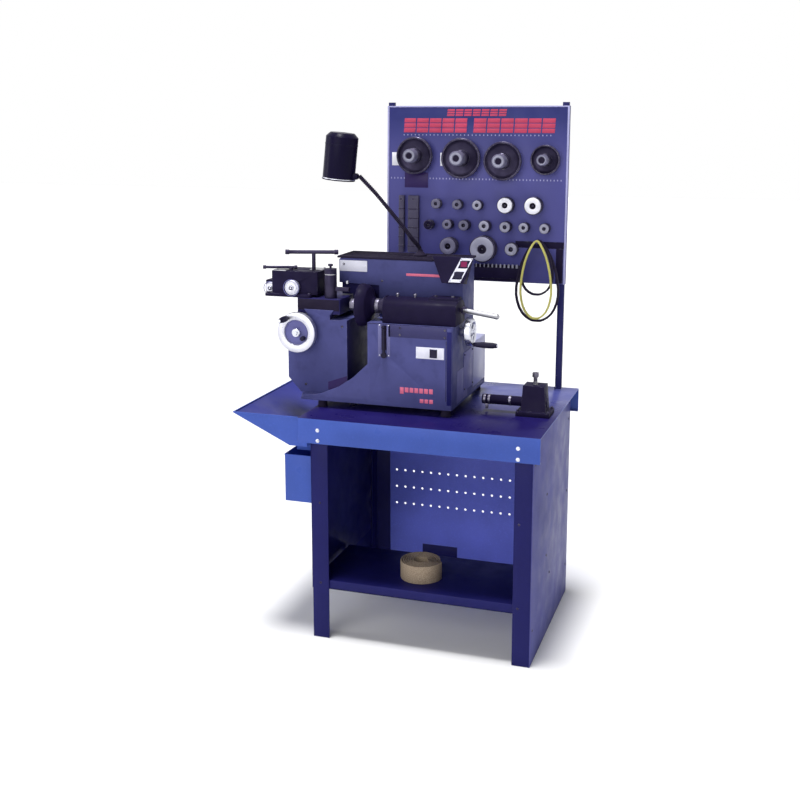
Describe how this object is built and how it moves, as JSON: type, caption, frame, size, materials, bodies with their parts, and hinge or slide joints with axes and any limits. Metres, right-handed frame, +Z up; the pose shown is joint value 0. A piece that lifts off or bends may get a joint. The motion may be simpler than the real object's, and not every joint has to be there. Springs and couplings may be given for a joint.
{
  "type": "brake lathe",
  "caption": "Bench lathe for brake drums and discs on a sheet steel bench, with a chip chute and bucket, a leaning tool board, a work lamp and a bottom shelf.",
  "frame": {"origin": "middle of the machine's box, on the floor", "axes": "+X along the spindle and the bench to the operator's right, +Y from the operator to the back, +Z up"},
  "size_m": [1.093, 0.756, 1.8767],
  "materials": {
    "bench_blue": "gloss enamel over folded steel",
    "bench_pale": "gloss enamel over sheet steel",
    "bench_navy": "dark gloss enamel over steel",
    "slate_paint": "hammered slate enamel over cast iron",
    "dark_paint": "dark enamel over cast iron",
    "black_steel": "black oxide over machined steel",
    "bright_steel": "ground and polished steel",
    "aluminium_dial": "satin turned aluminium",
    "black_rubber": "moulded black rubber",
    "yellow_rubber": "moulded yellow rubber",
    "cork_band": "tan rubber and cork band",
    "black_plastic": "moulded black plastic",
    "lamp_shell": "black enamel over spun aluminium",
    "bulb_glass": "frosted glass"
  },
  "bodies": {
    "machine_frame": {"bench_top": "bench_blue", "chip_chute": "bench_blue", "leg_front_left": "bench_navy", "leg_front_right": "bench_navy", "leg_rear_left": "bench_navy", "leg_rear_right": "bench_navy", "side_panel_left": "bench_navy", "side_panel_right": "bench_pale", "back_panel": "bench_pale", "bottom_shelf": "bench_navy", "silencer_band_roll": "cork_band", "board_post_left": "bench_navy", "board_post_right": "bench_navy", "tool_board": "bench_pale", "silencer_belt_yellow": "yellow_rubber", "silencer_belt_black_small": "black_rubber", "silencer_belt_black_large": "black_rubber", "boring_bar_holder": "dark_paint", "base_casting": "slate_paint", "foot_front_left": "black_rubber", "foot_front_right": "black_rubber", "foot_rear_left": "black_rubber", "foot_rear_right": "black_rubber", "slide_column": "slate_paint", "headstock_housing": "slate_paint", "tray_mat": "black_rubber", "rear_cover": "bench_pale", "drive_motor": "dark_paint", "drive_belt": "black_rubber", "quill_carrier": "dark_paint", "feed_pod": "dark_paint"},
    "bucket": {"chip_bucket": "bench_blue"},
    "holder_screw": {"boring_bar_screw": "bright_steel"},
    "slide": {"cross_slide": "slate_paint", "twin_cutter_body": "dark_paint"},
    "cross_wheel": {"cross_handwheel": "aluminium_dial"},
    "cross_grip": {"cross_wheel_grip": "black_plastic"},
    "bar_left": {"tool_bar_left": "bright_steel"},
    "bar_right": {"tool_bar_right": "bright_steel"},
    "dial_left": {"depth_dial_left": "aluminium_dial"},
    "dial_right": {"depth_dial_right": "aluminium_dial"},
    "tee_left": {"tee_handle_left": "black_steel"},
    "tee_right": {"tee_handle_right": "black_steel"},
    "post": {"tool_post": "black_steel"},
    "quill": {"spindle_quill": "black_steel"},
    "spindle": {"spindle_arbor": "bright_steel", "bell_clamp": "black_steel", "arbor_nut": "bright_steel"},
    "worm": {"worm_shaft": "bright_steel"},
    "pulley": {"motor_pulley": "aluminium_dial"},
    "feed_wheel": {"feed_handwheel": "bright_steel"},
    "feed_grip": {"feed_wheel_grip": "black_plastic"},
    "lever": {"quill_lever": "bright_steel"},
    "selector": {"feed_lever": "black_plastic"},
    "power_rocker": {"main_rocker": "black_plastic"},
    "lower_rocker": {"feed_rocker_lower": "black_plastic"},
    "upper_rocker": {"feed_rocker_upper": "black_plastic"},
    "lamp_arm": {"lamp_gooseneck": "lamp_shell"},
    "shade": {"lamp_shade": "lamp_shell", "lamp_bulb": "bulb_glass"}
  },
  "joints": [
    {"name": "bucket_pull", "type": "slide", "parent": "machine_frame", "child": "bucket", "axis": [0, -1, 0], "range_m": [0, 0.2]},
    {"name": "holder_screw_turn", "type": "hinge", "parent": "machine_frame", "child": "holder_screw", "pos_m": [0.4655, -0.077, 0.9], "axis": [0, 0, 1], "continuous": true},
    {"name": "cross_slide_travel", "type": "slide", "parent": "machine_frame", "child": "slide", "axis": [0, 1, 0], "range_m": [-0.018, 0.045]},
    {"name": "cross_wheel_turn", "type": "hinge", "parent": "machine_frame", "child": "cross_wheel", "pos_m": [-0.3615, -0.224, 1.074], "axis": [0, 1, 0], "range_deg": [-1300, 3245]},
    {"name": "cross_grip_spin", "type": "hinge", "parent": "cross_wheel", "child": "cross_grip", "pos_m": [-0.39355, -0.274, 1.12529], "axis": [0, 1, 0], "continuous": true},
    {"name": "left_bar_feed", "type": "slide", "parent": "slide", "child": "bar_left", "axis": [0, 1, 0], "range_m": [-0.005, 0.005]},
    {"name": "left_dial_turn", "type": "hinge", "parent": "slide", "child": "dial_left", "pos_m": [-0.4885, -0.164, 1.218], "axis": [0, 1, 0], "range_deg": [-722, 722]},
    {"name": "right_bar_feed", "type": "slide", "parent": "slide", "child": "bar_right", "axis": [0, 1, 0], "range_m": [-0.005, 0.005]},
    {"name": "right_dial_turn", "type": "hinge", "parent": "slide", "child": "dial_right", "pos_m": [-0.3955, -0.184, 1.226], "axis": [0, 1, 0], "range_deg": [-722, 722]},
    {"name": "left_tee_turn", "type": "hinge", "parent": "slide", "child": "tee_left", "pos_m": [-0.4205, -0.134, 1.2827], "axis": [0, 0, 1], "range_deg": [-40, 40]},
    {"name": "right_tee_turn", "type": "hinge", "parent": "slide", "child": "tee_right", "pos_m": [-0.3325, -0.134, 1.2827], "axis": [0, 0, 1], "range_deg": [-20, 20]},
    {"name": "tool_post_turn", "type": "hinge", "parent": "slide", "child": "post", "pos_m": [-0.2575, -0.162, 1.246], "axis": [0, 0, 1], "range_deg": [-90, 10]},
    {"name": "quill_feed", "type": "slide", "parent": "machine_frame", "child": "quill", "axis": [-1, 0, 0], "range_m": [-0.002, 0.02]},
    {"name": "spindle_spin", "type": "hinge", "parent": "quill", "child": "spindle", "pos_m": [-0.0515, -0.154, 1.172], "axis": [1, 0, 0], "continuous": true},
    {"name": "worm_turn", "type": "hinge", "parent": "machine_frame", "child": "worm", "pos_m": [0.08854, 0.076, 1.226], "axis": [0, 1, 0], "continuous": true},
    {"name": "motor_pulley_turn", "type": "hinge", "parent": "machine_frame", "child": "pulley", "pos_m": [0.08854, 0.083, 0.928], "axis": [0, 1, 0], "continuous": true},
    {"name": "feed_wheel_turn", "type": "hinge", "parent": "machine_frame", "child": "feed_wheel", "pos_m": [0.2425, -0.124, 1.092], "axis": [1, 0, 0], "range_deg": [-92, 902]},
    {"name": "feed_grip_spin", "type": "hinge", "parent": "feed_wheel", "child": "feed_grip", "pos_m": [0.2885, -0.124, 1.04888], "axis": [1, 0, 0], "continuous": true},
    {"name": "quill_lever_turn", "type": "hinge", "parent": "machine_frame", "child": "lever", "pos_m": [0.2278, -0.154, 1.172], "axis": [0, 1, 0], "range_deg": [-20, 2]},
    {"name": "feed_selector_turn", "type": "hinge", "parent": "machine_frame", "child": "selector", "pos_m": [-0.03744, -0.229, 1.012], "axis": [0, 1, 0], "range_deg": [-25, 25]},
    {"name": "power_rocker_tip", "type": "hinge", "parent": "machine_frame", "child": "power_rocker", "pos_m": [0.14059, -0.224, 1.028], "axis": [1, 0, 0], "range_deg": [-12, 12]},
    {"name": "lower_rocker_tip", "type": "hinge", "parent": "machine_frame", "child": "lower_rocker", "pos_m": [0.1995, -0.1297, 1.2871], "axis": [1, 0, 0], "range_deg": [-12, 12]},
    {"name": "upper_rocker_tip", "type": "hinge", "parent": "machine_frame", "child": "upper_rocker", "pos_m": [0.2155, -0.11206, 1.32364], "axis": [1, 0, 0], "range_deg": [-12, 12]},
    {"name": "lamp_swivel", "type": "hinge", "parent": "machine_frame", "child": "lamp_arm", "pos_m": [0.02152, 0.006, 1.34], "axis": [0, 0, 1], "range_deg": [-45, 45]},
    {"name": "shade_tilt", "type": "hinge", "parent": "lamp_arm", "child": "shade", "pos_m": [-0.22465, 0.006, 1.61128], "axis": [0, 1, 0], "range_deg": [-30, 30]}
  ],
  "couplings": [
    {"joint": "cross_wheel_turn", "follows": "cross_slide_travel", "rad_per_m": 1256.6},
    {"joint": "left_dial_turn", "follows": "left_bar_feed", "rad_per_m": 2513.3},
    {"joint": "right_dial_turn", "follows": "right_bar_feed", "rad_per_m": 2513.3},
    {"joint": "feed_wheel_turn", "follows": "quill_feed", "rad_per_m": 785.4},
    {"joint": "worm_turn", "follows": "spindle_spin", "ratio": 20},
    {"joint": "motor_pulley_turn", "follows": "spindle_spin", "ratio": 31.429}
  ]
}
